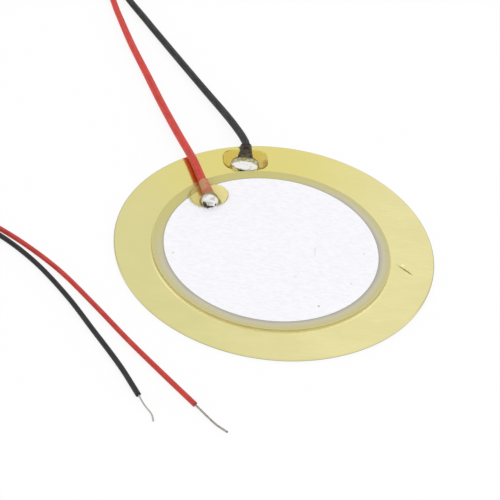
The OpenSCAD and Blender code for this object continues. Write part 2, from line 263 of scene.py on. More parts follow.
def mesh_object(name, bm):
    """A new object that holds the mesh, smooth and with its faces outwards."""
    mesh = bpy.data.meshes.new(name)
    bmesh.ops.recalc_face_normals(bm, faces=bm.faces)
    bm.to_mesh(mesh)
    bm.free()
    mesh.polygons.foreach_set("use_smooth", [True] * len(mesh.polygons))
    piece = bpy.data.objects.new(name, mesh)
    bpy.context.scene.collection.objects.link(piece)
    return piece


# ---------------------------------------------------------------- selecting and finishing pieces


def select_only(*pieces):
    """Selects these pieces and nothing else, the first of them active."""
    bpy.ops.object.select_all(action="DESELECT")
    for piece in pieces:
        piece.select_set(True)
    bpy.context.view_layer.objects.active = pieces[0]


def apply_place(piece):
    """Puts a piece's place, turn and scale into its mesh."""
    select_only(piece)
    bpy.ops.object.transform_apply(location=True, rotation=True, scale=True)


def apply_modifiers(piece):
    """Applies a piece's modifiers in their order."""
    select_only(piece)
    for modifier in list(piece.modifiers):
        bpy.ops.object.modifier_apply(modifier=modifier.name)


def smooth_by_angle(piece, degrees):
    """Smooth shading, with edges sharper than an angle left sharp."""
    select_only(piece)
    bpy.ops.object.shade_smooth_by_angle(angle=math.radians(degrees))


def stand_in(piece, material, solid):
    """Gives a finished piece its material and slot, and puts it in the place of its solid."""
    piece.data.materials.clear()
    piece.data.materials.append(material)
    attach(piece, "root")
    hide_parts(solid)


def finish_node(name, material):
    """Gives a solid of the frame its material."""
    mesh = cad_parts[name].data
    mesh.materials.clear()
    mesh.materials.append(material)


# ---------------------------------------------------------------- material nodes


# What nearly all of a noise lies between, and a tighter span that makes patches of it
NOISE_SPAN = (0.3, 0.7)
PATCH_SPAN = (0.35, 0.65)
# A stretch that leaves out the height, so that distances are taken as seen from above
LEVEL = (1, 1, 0)


def new_finish(name):
    """A material with its node tree and its surface shader."""
    material = bpy.data.materials.new(name)
    material.use_nodes = True
    tree = material.node_tree
    return material, tree, tree.nodes["Principled BSDF"]


def put(tree, socket, value):
    """Links a socket to an output, or sets it to a value."""
    if isinstance(value, bpy.types.NodeSocket):
        tree.links.new(value, socket)
    elif hasattr(value, "__len__") and len(value) == 3 and socket.type == "RGBA":
        socket.default_value = (*value, 1)
    else:
        socket.default_value = value


def fill(tree, made, inputs):
    """Sets or links a node's inputs by name or number."""
    for key, value in inputs.items():
        put(tree, made.inputs[key], value)


def node(tree, kind, inputs=None, **settings):
    """Adds a node with its settings and its inputs."""
    made = tree.nodes.new(kind)
    for key, value in settings.items():
        setattr(made, key, value)
    fill(tree, made, inputs or {})
    return made


def stretched(tree, vector, stretch):
    """A vector with its three parts multiplied."""
    return node(tree, "ShaderNodeVectorMath", {0: vector, 1: stretch}, operation="MULTIPLY").outputs[0]


def split(tree, vector):
    """The X, Y and Z parts of a vector."""
    return node(tree, "ShaderNodeSeparateXYZ", {0: vector}).outputs


def place(tree, stretch=(1, 1, 1), centre=(0, 0, 0), turn=0):
    """Object coordinates measured from a centre, turned about Z and stretched."""
    coords = node(tree, "ShaderNodeTexCoord").outputs["Object"]
    moved = node(tree, "ShaderNodeMapping", {"Vector": coords, "Location": centre, "Rotation": (0, 0, turn)},
                 vector_type="TEXTURE")
    return stretched(tree, moved.outputs[0], stretch)


def straightened(tree, stretch=(1, 1, 1)):
    """The place on a lead as if it were pulled straight along Z, stretched."""
    along = node(tree, "ShaderNodeAttribute", attribute_name="straight").outputs["Vector"]
    return stretched(tree, along, stretch)


def distance(tree, coords):
    """How far coordinates are from their centre."""
    return node(tree, "ShaderNodeVectorMath", {0: coords}, operation="LENGTH").outputs["Value"]


def noise(tree, coords, scale, detail=2, roughness=0.5):
    """A noise value from 0 to 1, with its scale in waves per metre."""
    inputs = {"Vector": coords, "Scale": scale, "Detail": detail, "Roughness": roughness}
    return node(tree, "ShaderNodeTexNoise", inputs).outputs["Fac"]


def ramp(tree, value, low, high, start=0.0, end=1.0):
    """A value that runs from start to end while another runs from low to high."""
    inputs = {"Value": value, "From Min": low, "From Max": high, "To Min": start, "To Max": end}
    return node(tree, "ShaderNodeMapRange", inputs, interpolation_type="SMOOTHSTEP").outputs["Result"]


def mix(tree, share, first, second):
    """A colour that runs from the first to the second as share goes from 0 to 1."""
    inputs = {"Factor": share, "A": first, "B": second}
    return node(tree, "ShaderNodeMix", inputs, data_type="RGBA").outputs["Result"]


def reckon(tree, operation, first, *others):
    """The result of a sum on values, each of the others taken in turn with the result so far."""
    if not others:
        return node(tree, "ShaderNodeMath", {0: first}, operation=operation).outputs[0]
    for other in others:
        first = node(tree, "ShaderNodeMath", {0: first, 1: other}, operation=operation).outputs[0]
    return first


def waver(tree, scale, reach, centre=(0, 0, 0)):
    """A value that wanders between minus and plus a reach, which makes an edge ragged."""
    return ramp(tree, noise(tree, place(tree, centre=centre), scale), *NOISE_SPAN, -reach, reach)


def blot(tree, centre, radii, ragged=0.25):
    """A blot's share: whole at its centre, with a soft ragged edge at its radii."""
    far = distance(tree, place(tree, tuple(1 / radius for radius in radii), centre))
    return ramp(tree, reckon(tree, "ADD", far, waver(tree, 5000, ragged, centre)), 1.15, 0.8)


def within(tree, value, *bounds):
    """A share that is whole while a value lies between the middle two of four bounds in millimetres."""
    start, whole, fading, end = (bound * MM for bound in bounds)
    return reckon(tree, "MULTIPLY", ramp(tree, value, start, whole), ramp(tree, value, end, fading))


def beside_ball(tree):
    """Distances from the foot of the solder ball: out along the red lead, across it and up."""
    return split(tree, place(tree, centre=BALL_FOOT, turn=math.radians(RED_AXIS.heading)))


def beside_mound(tree):
    """Distances from the foot of the solder mound: out along the black lead, across it and up."""
    return split(tree, place(tree, centre=MOUND_FOOT, turn=math.radians(BLACK_AXIS.heading)))


def bump(tree, shader, height, depth):
    """Bumps on a shader, of a depth in metres."""
    shaped = node(tree, "ShaderNodeBump", {"Height": height, "Strength": 1.0, "Distance": depth})
    put(tree, shader.inputs["Normal"], shaped.outputs["Normal"])


def srgb(red, green, blue):
    """A colour as a screen shows it, from 0 to 255, as the linear colour that a shader takes."""
    return tuple(((c / 255 + 0.055) / 1.055) ** 2.4 if c > 10 else c / 255 / 12.92
                 for c in (red, green, blue))


def darker(tint, share):
    """A colour brought down to a share of its brightness."""
    return tuple(c * share for c in tint)


# ---------------------------------------------------------------- settings


def length(name, description, millimetres):
    """A length that a user may change."""
    return FloatProperty(name=name, description=description, default=millimetres * MM, min=0,
                         soft_max=50 * MM, unit="LENGTH", precision=5)


def angle(name, description, degrees):
    """An angle that a user may change."""
    return FloatProperty(name=name, description=description, default=math.radians(degrees), subtype="ANGLE")


def colour(name, description, default):
    """A colour that a user may change."""
    return FloatVectorProperty(name=name, description=description, subtype="COLOR", size=3, min=0, max=1,
                               default=default)


class StageSettings(bpy.types.PropertyGroup):
    """The floor, the light and the camera."""
    camera_reach: length("Camera distance", "Distance from the camera to the point it looks at", 600)
    camera_lens: FloatProperty(name="Lens", description="Focal length of the camera's lens, in millimetres",
                               default=515.6, min=1)
    camera_rise: angle("Elevation", "Angle at which the camera looks down", 40.8)
    camera_roll: angle("Roll", "Turn of the camera about its line of sight", 7.92)
    floor_size: length("Floor size", "Side of the square floor", 3000)
    sky_level: FloatProperty(name="Sky level", description="Brightness of the sky", default=1.03, min=0)
    low_sky_level: FloatProperty(name="Low sky level",
                                 description="Brightness of the sky low down on the camera's side",
                                 default=0.65, min=0)


class DiscSettings(bpy.types.PropertyGroup):
    """The plate and what is bonded to it."""
    brass: colour("Brass", "Colour of the brass", srgb(231, 222, 163))
    # The dulled brass serves the patches of tarnish, the grain and the painted shade towards the left
    tarnish_and_shade_tint: colour("Tarnish", "Colour of the brass where it has dulled", srgb(214, 207, 146))
    silver: colour("Silver", "Colour of the fired silver", srgb(250, 250, 254))
    ceramic: colour("Ceramic", "Colour of the bare ceramic", srgb(197, 190, 161))
    adhesive: colour("Adhesive", "Colour of the squeezed-out adhesive", srgb(208, 195, 124))


class LeadSettings(bpy.types.PropertyGroup):
    """The two insulated leads."""
    red: colour("Red", "Colour of the red insulation", srgb(206, 48, 38))
    black: colour("Black", "Colour of the black insulation", srgb(20, 20, 21))
    bore: length("Bore", "Diameter of the hole that the core comes out of", 0.22)
    wire: colour("Wire", "Colour of the tinned wire", srgb(176, 174, 168))


class JointSettings(bpy.types.PropertyGroup):
    """The solder and the flux."""
    ball_diameter: length("Ball", "Diameter of the solder ball on the silver", 1.49)
    ball_height: length("Ball height", "Height of the solder ball", 0.93)
    mound_width: length("Mound width", "Width of the solder mound along the rim", 2.4)
    mound_depth: length("Mound depth", "Depth of the solder mound across the rim", 1.68)
    mound_height: length("Mound height", "Height of the solder mound", 0.65)
    solder: colour("Solder", "Colour of the solder", srgb(236, 235, 231))
    pale_flux: colour("Pale flux", "Colour of white light that has come through 0.2 mm of the pale flux",
                      (0.96, 0.91, 0.6))
    amber_flux: colour("Amber flux", "Colour of white light that has come through 0.2 mm of the amber flux",
                       (0.945, 0.885, 0.7))


# ---------------------------------------------------------------- stage


def make_camera(stage):
    """The camera, looking down at the disc from the front, a little rolled."""
    aim = Vector((-2.02 * MM, 0, 0))
    tilt = Matrix.Rotation(math.pi / 2 - stage.camera_rise, 4, "X")
    turn = tilt @ Matrix.Rotation(stage.camera_roll, 4, "Z")
    away = turn @ Vector((0, 0, stage.camera_reach))
    bpy.ops.object.camera_add(location=aim + away, rotation=turn.to_euler())
    camera = bpy.context.active_object
    camera.data.sensor_width = 36
    camera.data.lens = stage.camera_lens
    camera.data.clip_start = 0.05
    camera.data.clip_end = 10
    bpy.context.scene.camera = camera


def make_floor(stage):
    """A pale floor just under the disc. It is clear from below, so that the underside can be seen."""
    drop = 0.01 * MM
    glow_share = 0.86
    reflected_level = 0.97
    bpy.ops.mesh.primitive_plane_add(size=stage.floor_size, location=(0, 0, -drop))
    floor = bpy.context.active_object
    floor.name = "floor"
    material, tree, shader = new_finish("pale_floor")
    fill(tree, shader, {"Base Color": (0.97, 0.97, 0.97), "Roughness": 0.9, "Specular IOR Level": 0.0})
    glow = node(tree, "ShaderNodeEmission", {"Color": (1, 1, 1), "Strength": 1.0})
    shade = node(tree, "ShaderNodeMixShader", {0: glow_share, 1: shader.outputs[0], 2: glow.outputs[0]})
    reflected = node(tree, "ShaderNodeEmission", {"Color": (1, 1, 1), "Strength": reflected_level})
    seen = node(tree, "ShaderNodeLightPath").outputs["Is Camera Ray"]
    top = node(tree, "ShaderNodeMixShader", {0: seen, 1: reflected.outputs[0], 2: shade.outputs[0]})
    clear = node(tree, "ShaderNodeBsdfTransparent")
    below = node(tree, "ShaderNodeNewGeometry").outputs["Backfacing"]
    both = node(tree, "ShaderNodeMixShader", {0: below, 1: top.outputs[0], 2: clear.outputs[0]})
    put(tree, tree.nodes["Material Output"].inputs["Surface"], both.outputs[0])
    floor.data.materials.append(material)


def make_sky(stage):
    """A soft even sky, white where the camera sees it, and dimmer low down on the camera's side."""
    world = bpy.data.worlds.new("studio")
    world.use_nodes = True
    bpy.context.scene.world = world
    tree = world.node_tree
    tree.nodes.clear()
    way = split(tree, node(tree, "ShaderNodeTexCoord").outputs["Generated"])
    front = ramp(tree, way["Y"], -0.55, -0.8)
    low = ramp(tree, way["Z"], 0.55, 0.35)
    level = ramp(tree, reckon(tree, "MULTIPLY", front, low), 0, 1, stage.sky_level, stage.low_sky_level)
    lit = node(tree, "ShaderNodeBackground", {"Color": (1, 1, 1), "Strength": level})
    white = node(tree, "ShaderNodeBackground", {"Color": (1, 1, 1), "Strength": 1.0})
    seen = node(tree, "ShaderNodeLightPath").outputs["Is Camera Ray"]
    both = node(tree, "ShaderNodeMixShader", {0: seen, 1: lit.outputs[0], 2: white.outputs[0]})
    node(tree, "ShaderNodeOutputWorld", {"Surface": both.outputs[0]})


class PIEZO_OT_stage(bpy.types.Operator):
    """Sets up the camera, the pale floor and the soft light"""
    bl_idname = "piezo.stage"
    bl_label = "Stage"

    def execute(self, context):
        stage = context.scene.piezo_stage
        context.scene.view_settings.view_transform = "Standard"
        make_camera(stage)
        make_floor(stage)
        make_sky(stage)
        return {"FINISHED"}


# ---------------------------------------------------------------- leads


# The steps that close a lead's end: a broken corner, a square cut and the bore. Each has, in millimetres, how
# far it lies inside the outer wall, or None on the bore's wall, and how far out past the last section
END_STEPS = [(0.01, 0.006), (0.03, 0.012), (None, 0.008), (None, -0.35)]


def insulation_finish(name, tint, sheen_streak, roughness, far_share):
    """Soft PVC, speckled, with faint lighter streaks along it as a painted sheen, and darkened to a share of
    its tint further out.
    """
    material, tree, shader = new_finish(name)
    streaks = noise(tree, straightened(tree, (1, 1, 0.12)), 9000)
    specks = noise(tree, straightened(tree), 14000)
    patches = noise(tree, straightened(tree), 500)
    # Lighter streaks along the lead: a painted sheen
    sheen_lines = ramp(tree, reckon(tree, "MULTIPLY", streaks, specks), 0.2, 0.36)
    body = mix(tree, ramp(tree, patches, *PATCH_SPAN), darker(tint, 0.8), tint)
    run = split(tree, straightened(tree))["Z"]
    darkened = ramp(tree, run, 30 * MM, 60 * MM, 0, 1 - far_share)
    fill(tree, shader, {"Base Color": mix(tree, darkened, mix(tree, sheen_lines, body, sheen_streak), (0, 0, 0)),
                        "Roughness": ramp(tree, specks, *NOISE_SPAN, roughness, roughness + 0.15),
                        "Specular IOR Level": 0.4})
    bump(tree, shader, reckon(tree, "ADD", streaks, specks), 0.004 * MM)
    return material


def make_lead(name, route, thickness, bore):
    """One lead's insulation: a tube that is bored and square-cut where the wire comes out."""
    path = path_along(route, LEAD_STEP)
    runs = travelled(path)
    radii = [blend(thickness, run / MM) * MM / 2 for run in runs]
    ways = frames_along(path)
    bm = bmesh.new()
    straight = bm.verts.layers.float_vector.new("straight")

    def section(centre, way, radius, run):
        _, level, up = way
        made = ring(bm, centre, level, up, radius, LEAD_SIDES)
        for vert in made:
            out = vert.co - centre
            vert[straight] = (out.dot(level), out.dot(up), run)
        return made

    rings = [section(*spot) for spot in zip(path, ways, radii, runs)]
    for first, second in zip(rings, rings[1:]):
        bridge(bm, first, second)
    for at, outwards in ((0, -1), (-1, 1)):
        edge = rings[at]
        for inset, past in END_STEPS:
            radius = bore / 2 if inset is None else radii[at] - inset * MM
            centre = path[at] + outwards * past * MM * ways[at][0]
            following = section(centre, ways[at], radius, runs[at])
            bridge(bm, edge, following)
            edge = following
        bm.faces.new(edge)
    piece = mesh_object(name, bm)
    smooth_by_angle(piece, 50)
    return piece, path, runs[-1]


class PIEZO_OT_leads(bpy.types.Operator):
    """Models the insulation of the red and the black lead along their routes"""
    bl_idname = "piezo.leads"
    bl_label = "Leads"

    def execute(self, context):
        leads = context.scene.piezo_leads
        red = insulation_finish("red_pvc", leads.red, srgb(212, 69, 57), 0.36, 0.9)
        black = insulation_finish("black_pvc", leads.black, srgb(57, 57, 57), 0.42, 0.45)
        for name, route, thickness, material, solid, end in (
                ("red_lead", RED_ROUTE, RED_THICKNESS, red, "red_insulation", "red_bare_end"),
                ("black_lead", BLACK_ROUTE, BLACK_THICKNESS, black, "black_insulation", "black_bare_end")):
            piece, path, reach = make_lead(name, route, thickness, leads.bore)
            stand_in(piece, material, solid)
        return {"FINISHED"}


# ---------------------------------------------------------------- bare ends


def beyond(route, far):
    """A point straight on from the end of a route."""
    curve = spline(route, HEADING_STEPS)
    return curve[-1] + far * (curve[-1] - curve[-2]).normalized()


def sunk(x, y, share_down, wire):
    """A point of a bare wire in millimetres, sinking from the lead's middle to lie on the table."""
    return Vector((x * MM, y * MM, (1 - share_down) * LEAD_DIAMETER / 2 + share_down * wire / 2))


RED_WIRE_ROUTE = [
    RED_ROUTE[-1], beyond(RED_ROUTE, 0.5 * MM), sunk(-3.55, -21.55, 0.4, STRANDS_DIAMETER),
    sunk(-2.75, -22.3, 0.8, STRANDS_DIAMETER), sunk(-1.8, -22.95, 1, STRANDS_DIAMETER)]
BLACK_WIRE_ROUTE = [
    BLACK_ROUTE[-1], beyond(BLACK_ROUTE, 0.3 * MM), sunk(-8.99, -20.87, 0.3, TINNED_DIAMETER),
    sunk(-8.62, -21.41, 0.55, TINNED_DIAMETER), sunk(-8.26, -21.86, 0.75, TINNED_DIAMETER),
    sunk(-8.04, -22.27, 0.9, TINNED_DIAMETER), sunk(-7.9, -22.83, 1, TINNED_DIAMETER)]


def wire_finish(name, tint, warm, roughness, shaded_gaps=False):
    """Dull tinned copper with the copper showing faintly through, and painted shade where the strands meet.
    """
    material, tree, shader = new_finish(name)
    coords = place(tree)
    base = mix(tree, ramp(tree, noise(tree, coords, 2500), 0.45, 0.7), tint, warm)
    if shaded_gaps:
        # Painted shade where a strand's surface turns in towards its neighbours
        outward = node(tree, "ShaderNodeAttribute", attribute_name="outward").outputs["Fac"]
        base = mix(tree, ramp(tree, outward, 0.55, 0.97), srgb(62, 54, 48), base)
    dull = ramp(tree, noise(tree, coords, 20000), *NOISE_SPAN, roughness - 0.1, roughness + 0.1)
    fill(tree, shader, {"Base Color": base, "Metallic": 1.0, "Roughness": dull})
    bump(tree, shader, noise(tree, coords, 30000, 3), 0.002 * MM)
    return material


def tinned_finish(name, tint):
    """The finish of a wire whose strands run together with solder."""
    return wire_finish(name, tint, srgb(170, 168, 160), 0.35)


def make_strands(material):
    """Six bare strands laid round a seventh. They start inside the insulation."""
    path = carried_back(path_along(RED_WIRE_ROUTE, STRAND_STEP), STRAND_START)
    runs = travelled(path)
    ways = frames_along(path)
    radii = [STRAND_DIAMETER / 2] * len(path)
    bm = bmesh.new()
    outward = bm.verts.layers.float.new("outward")
    sweep(bm, path, radii, STRAND_SIDES)
    far = STRAND_DIAMETER + STRAND_GAP
    for strand in range(OUTER_STRANDS):
        line = []
        for point, run, (_, level, up) in zip(path, runs, ways):
            turn = 2 * math.pi * (strand / OUTER_STRANDS + run / STRAND_LAY)
            line.append(point + far * (math.cos(turn) * level + math.sin(turn) * up))
        before = len(bm.verts)
        sweep(bm, line, radii, STRAND_SIDES)
        for k, vert in enumerate(list(bm.verts)[before:]):
            vert[outward] = ((vert.co - path[k // STRAND_SIDES]).length - far) / radii[0]
    piece = mesh_object("red_bare_end", bm)
    smooth_by_angle(piece, 60)
    stand_in(piece, material, "red_strands")


def make_tinned_end(material):
    """The other lead's strands, run together with solder into one wire."""
    path = carried_back(path_along(BLACK_WIRE_ROUTE, TINNED_STEP), TINNED_START)
    radii = [blend(TINNED_THICKNESS, run / MM) * MM / 2 for run in travelled(path)]
    bm = bmesh.new()
    sweep(bm, path, radii, TINNED_SIDES)
    piece = mesh_object("black_bare_end", bm)
    smooth_by_angle(piece, 60)
    stand_in(piece, material, "black_tinned_end")


class PIEZO_OT_bare_ends(bpy.types.Operator):
    """Models the bare strands of the red lead and the tinned end of the black lead"""
    bl_idname = "piezo.bare_ends"
    bl_label = "Bare ends"

    def execute(self, context):
        make_strands(wire_finish("strand_metal", srgb(222, 218, 210), srgb(214, 186, 166), 0.4, shaded_gaps=True))
        make_tinned_end(tinned_finish("tinned_metal", context.scene.piezo_leads.wire))
        return {"FINISHED"}


# ---------------------------------------------------------------- disc


def painted(tree, base, marks):
    """A base colour with marks over it, each of them a share and its colour."""
    for share, paint in marks:
        base = mix(tree, share, base, paint)
    return base


def scratch_shade_share(tree):
    """Share of the scratch on the plate, painted dark as the shade in its groove, fading towards its ends."""
    along, across, _ = split(tree, place(tree, centre=SCRATCH_MID, turn=math.radians(SCRATCH_TURN)))
    ragged = reckon(tree, "ADD", across, waver(tree, 6000, 0.03 * MM))
    return reckon(tree, "MULTIPLY", within(tree, ragged, -0.1, -0.05, 0.05, 0.1),
                  within(tree, along, -1.0, 0, 0.5, 1.0))


def brass_marks_and_light(tree):
    """Marks on the plate's top: the scratch, painted dark as the shade in its groove, a painted highlight on
    its burr, and a band of painted light at the red lead's left that lightens the lead's reflection in the
    brass.
    """
    burr_highlight = blot(tree, BURR_HIGHLIGHT_MID, (0.16 * MM, 0.12 * MM, 0.1 * MM))
    out, across, _ = beside_ball(tree)
    reflection_light_band = reckon(tree, "MULTIPLY", within(tree, across, -0.2, 0.2, 0.5, 0.66),
                  ramp(tree, out, 2.4 * MM, 3 * MM))
    return [(scratch_shade_share(tree), srgb(146, 126, 54)), (burr_highlight, srgb(252, 242, 172)),
            (reflection_light_band, srgb(255, 242, 150))]


def ceramic_light(tree, forward):
    """Share of the painted reflection of the ceramic's pale wall, which lightens the brass at its foot on the
    front half only.
    """
    from_ceramic = distance(tree, place(tree, LEVEL, CERAMIC_MID))
    return reckon(tree, "MULTIPLY", ramp(tree, forward, -2 * MM, -7 * MM, 0, 0.9),
                  ramp(tree, from_ceramic, CERAMIC_RADIUS + 0.34 * MM, CERAMIC_RADIUS + 0.18 * MM))


def brass_finish(tint, tarnish_and_shade_tint):
    """Rolled brass: satin, with faint grain along the sheet, soft patches of tarnish, and painted shade that
    dulls it towards the left.
    """
    material, tree, shader = new_finish("rolled_brass")
    x, y, z = split(tree, place(tree))
    grain = noise(tree, place(tree, (0.12, 1, 1)), 7000, 4)
    patches = noise(tree, place(tree, (0.6, 1, 1)), 330, 3, 0.6)
    # Dulled in random patches of tarnish, and by painted shade that grows towards the left
    tarnished_and_shaded = reckon(tree, "ADD", ramp(tree, patches, 0.38, 0.64, 0, 0.3),
                    ramp(tree, x, 8 * MM, -12 * MM, 0, 0.9))
    from_joints = distance(tree, place(tree, centre=(-3 * MM, 10.5 * MM, 0)))
    yellower = tuple(a * b for a, b in zip(tint, (0.915, 0.885, 0.56)))
    base = painted(tree, mix(tree, tarnished_and_shaded, tint, tarnish_and_shade_tint), [
        (ramp(tree, from_joints, 13 * MM, 2.5 * MM, 0, 0.95), yellower),
        (ramp(tree, grain, *NOISE_SPAN, 0, 0.22), tarnish_and_shade_tint)])

    # The marks and the painted light lie on the plate's top, and not on its underside
    top = ramp(tree, z, BRASS_TOP - 0.08 * MM, BRASS_TOP - 0.03 * MM)
    # Painted reflection of the pale wall: the brass at the ceramic's foot is painted lighter and made less
    # metallic
    lit = reckon(tree, "MULTIPLY", ceramic_light(tree, y), top)
    marks = [(reckon(tree, "MULTIPLY", share, top), paint) for share, paint in brass_marks_and_light(tree)]
    base = painted(tree, base, marks + [(lit, srgb(254, 245, 186))])

    # The painted shade line of the stamped rim, in grey: low on its front wall, and along its top edge at the
    # back
    radius = distance(tree, place(tree, LEVEL))
    rim = ramp(tree, radius, PLATE_HIGH.x - 0.1 * MM, PLATE_HIGH.x - 0.03 * MM, 0, 0.85)
    front = ramp(tree, y, -3 * MM, -7 * MM)
    low_front = reckon(tree, "MULTIPLY", front, ramp(tree, z, 0.14 * MM, 0.06 * MM))
    high_back = reckon(tree, "MULTIPLY", reckon(tree, "SUBTRACT", 1, front), top)
    line = reckon(tree, "MULTIPLY", rim, reckon(tree, "ADD", low_front, high_back))
    fill(tree, shader, {"Base Color": mix(tree, line, base, srgb(160, 156, 128)),
                        "Metallic": ramp(tree, lit, 0, 1, 1, 0.45),
                        "Roughness": ramp(tree, grain, *NOISE_SPAN, 0.12, 0.2)})
    bump(tree, shader, grain, 0.0005 * MM)
    return material


def silver_finish(tint):
    """Fired silver, printed through a mesh: matt, near white, with a few specks."""
    material, tree, shader = new_finish("fired_silver")
    grain = noise(tree, place(tree, (0.5, 1, 1)), 4500, 3)
    dots = node(tree, "ShaderNodeTexVoronoi", {"Vector": place(tree), "Scale": 330}, feature="F1")
    chosen = ramp(tree, noise(tree, dots.outputs["Position"], 500, 1), 0.62, 0.64)
    speck = reckon(tree, "MULTIPLY", ramp(tree, dots.outputs["Distance"], 0.035, 0.02), chosen)
    for x, y, width, depth, dark in SPECKS:
        spot = blot(tree, Vector((x * MM, y * MM, SILVER_TOP)), (width * MM, depth * MM, MM))
        speck = reckon(tree, "MAXIMUM", speck, reckon(tree, "MULTIPLY", spot, dark))
    clean = mix(tree, ramp(tree, grain, *NOISE_SPAN), darker(tint, 0.94), tint)
    fill(tree, shader, {"Base Color": mix(tree, speck, clean, srgb(140, 138, 132)), "Roughness": 0.6,
                        "Specular IOR Level": 0.3})
    bump(tree, shader, reckon(tree, "SUBTRACT", grain, speck), 0.004 * MM)
    return material


def ceramic_finish(tint):
    """Unglazed ceramic, greyer beside the silver, and yellower towards its edge and near the joints, with its
    wall in painted light and shade.
    """
    material, tree, shader = new_finish("piezo_ceramic")
    coords = place(tree, centre=CERAMIC_MID)
    radius = distance(tree, stretched(tree, coords, LEVEL))
    outwards = ramp(tree, radius, SILVER_RADIUS, CERAMIC_RADIUS)
    wavy = reckon(tree, "ADD", outwards, waver(tree, 260, 0.1, CERAMIC_MID))
    from_joints = distance(tree, place(tree, centre=(-6 * MM, 7.5 * MM, 0)))
    seam = ramp(tree, radius, SILVER_RADIUS + 0.14 * MM, SILVER_RADIUS + 0.04 * MM, 0, 0.6)
    height = split(tree, coords)["Z"]
    # The wall is painted pale at the top and dark at its foot: painted light and shade
    wall = ramp(tree, radius, CERAMIC_RADIUS - 0.03 * MM, CERAMIC_RADIUS - 0.01 * MM)
    wall_light_and_shade = mix(tree, ramp(tree, height, -0.15 * MM, 0), srgb(182, 170, 104), srgb(230, 221, 168))
    inner = mix(tree, ramp(tree, wavy, -0.02, 0.3), srgb(178, 175, 160), tint)
    base = painted(tree, inner, [
        (ramp(tree, wavy, 0.45, 0.9), srgb(196, 188, 134)),
        (ramp(tree, noise(tree, coords, 5200), 0.55, 0.7, 0, 0.3), srgb(176, 166, 126)),
        (ramp(tree, from_joints, 13 * MM, 5 * MM, 0, 0.9), srgb(197, 189, 110)),
        (seam, srgb(148, 145, 138)), (wall, wall_light_and_shade),
        # Spilt flux and the red lead's painted shadow and reflection, in brown
        (red_lead_spill_and_shadow(tree), srgb(158, 106, 50))])
    fill(tree, shader, {"Base Color": base, "Roughness": 0.45})
    bump(tree, shader, noise(tree, coords, 16000, 3), 0.003 * MM)
    return material


def adhesive_finish(tint):
    """Cured adhesive: pale olive, neither matt nor glossy."""
    material, tree, shader = new_finish("cured_adhesive")
    patches = ramp(tree, noise(tree, place(tree), 700), *PATCH_SPAN)
    fill(tree, shader, {"Base Color": mix(tree, patches, darker(tint, 0.9), tint), "Roughness": 0.5})
    return material


class PIEZO_OT_disc(bpy.types.Operator):
    """Gives the brass plate, the adhesive, the ceramic and its silver their finishes"""
    bl_idname = "piezo.disc"
    bl_label = "Disc"

    def execute(self, context):
        disc = context.scene.piezo_disc
        silver = silver_finish(disc.silver)
        finish_node("brass_plate", brass_finish(disc.brass, disc.tarnish_and_shade_tint))
        finish_node("bond_layer", adhesive_finish(disc.adhesive))
        finish_node("ceramic_disc", ceramic_finish(disc.ceramic))
        finish_node("top_electrode", silver)
        finish_node("bottom_electrode", silver)
        return {"FINISHED"}


# ---------------------------------------------------------------- solder


# Painted dark reflections on the ball and on the mound: place from its foot, and three radii, in millimetres
BALL_DARK_REFLECTIONS = [((-0.4, -0.62, 0.26), (0.32, 0.22, 0.24)), ((-0.2, -0.72, 0.14), (0.26, 0.2, 0.15)),
              ((0.05, -0.74, 0.2), (0.32, 0.2, 0.1)), ((0.5, -0.52, 0.3), (0.08, 0.12, 0.16))]
MOUND_DARK_REFLECTIONS = [((-0.2, -0.82, 0.15), (0.42, 0.2, 0.1))]


def solder_finish(name, tint, stains_and_reflections):
    """Solder as it froze: bright, wrinkled and mottled, with stains and painted reflections from a function
    of the node tree.
    """
    material, tree, shader = new_finish(name)
    skin = noise(tree, place(tree), 2600)
    fine = noise(tree, place(tree), 9000)
    mottle = noise(tree, place(tree, centre=(0.4 * MM, 0, 0)), 3400, 3)
    clean = mix(tree, ramp(tree, mottle, 0.5, 0.72, 0, 0.75), tint, srgb(170, 166, 158))
    marks = stains_and_reflections(tree)
    metal = 1.0
    for share, _ in marks:
        metal = reckon(tree, "MULTIPLY", metal, reckon(tree, "SUBTRACT", 1, share))
    fill(tree, shader, {"Base Color": painted(tree, clean, marks), "Metallic": metal,
                        "Roughness": ramp(tree, metal, 0, 1, 0.35, 0.08)})
    bump(tree, shader, reckon(tree, "ADD", skin, reckon(tree, "MULTIPLY", fine, 0.15)), 0.04 * MM)
    return material


def dark_reflections(tree, foot, places, paint):
    """The painted dark reflections round a foot, each with the same colour."""
    return [(blot(tree, foot + MM * Vector(centre), MM * Vector(radii)), paint) for centre, radii in places]


def ball_film_and_reflections(tree):
    """A burnt film over the ball's back, and painted dark reflections at its front left."""
    out, _, _ = beside_ball(tree)
    wavy = reckon(tree, "ADD", out, waver(tree, 3000, 0.1 * MM))
    film = (ramp(tree, wavy, -0.1 * MM, 0.3 * MM, 0, 0.9), srgb(142, 126, 108))
    return [film] + dark_reflections(tree, BALL_FOOT, BALL_DARK_REFLECTIONS, srgb(60, 44, 34))


def mound_film_and_reflection(tree):
    """The olive film over the mound's back and top, and a painted dark reflection at its front."""
    out, _, _ = beside_mound(tree)
    wavy = reckon(tree, "ADD", out, waver(tree, 3000, 0.07 * MM))
    film = (ramp(tree, wavy, -0.24 * MM, -0.1 * MM), mound_film(tree))
    return [film] + dark_reflections(tree, MOUND_FOOT, MOUND_DARK_REFLECTIONS, srgb(64, 60, 46))


def mound_film(tree):
    """Colour of the olive film on the mound."""
    patches = ramp(tree, noise(tree, place(tree, centre=(MM, 0, 0)), 3600), *PATCH_SPAN)
    return mix(tree, patches, srgb(150, 144, 104), srgb(202, 196, 154))


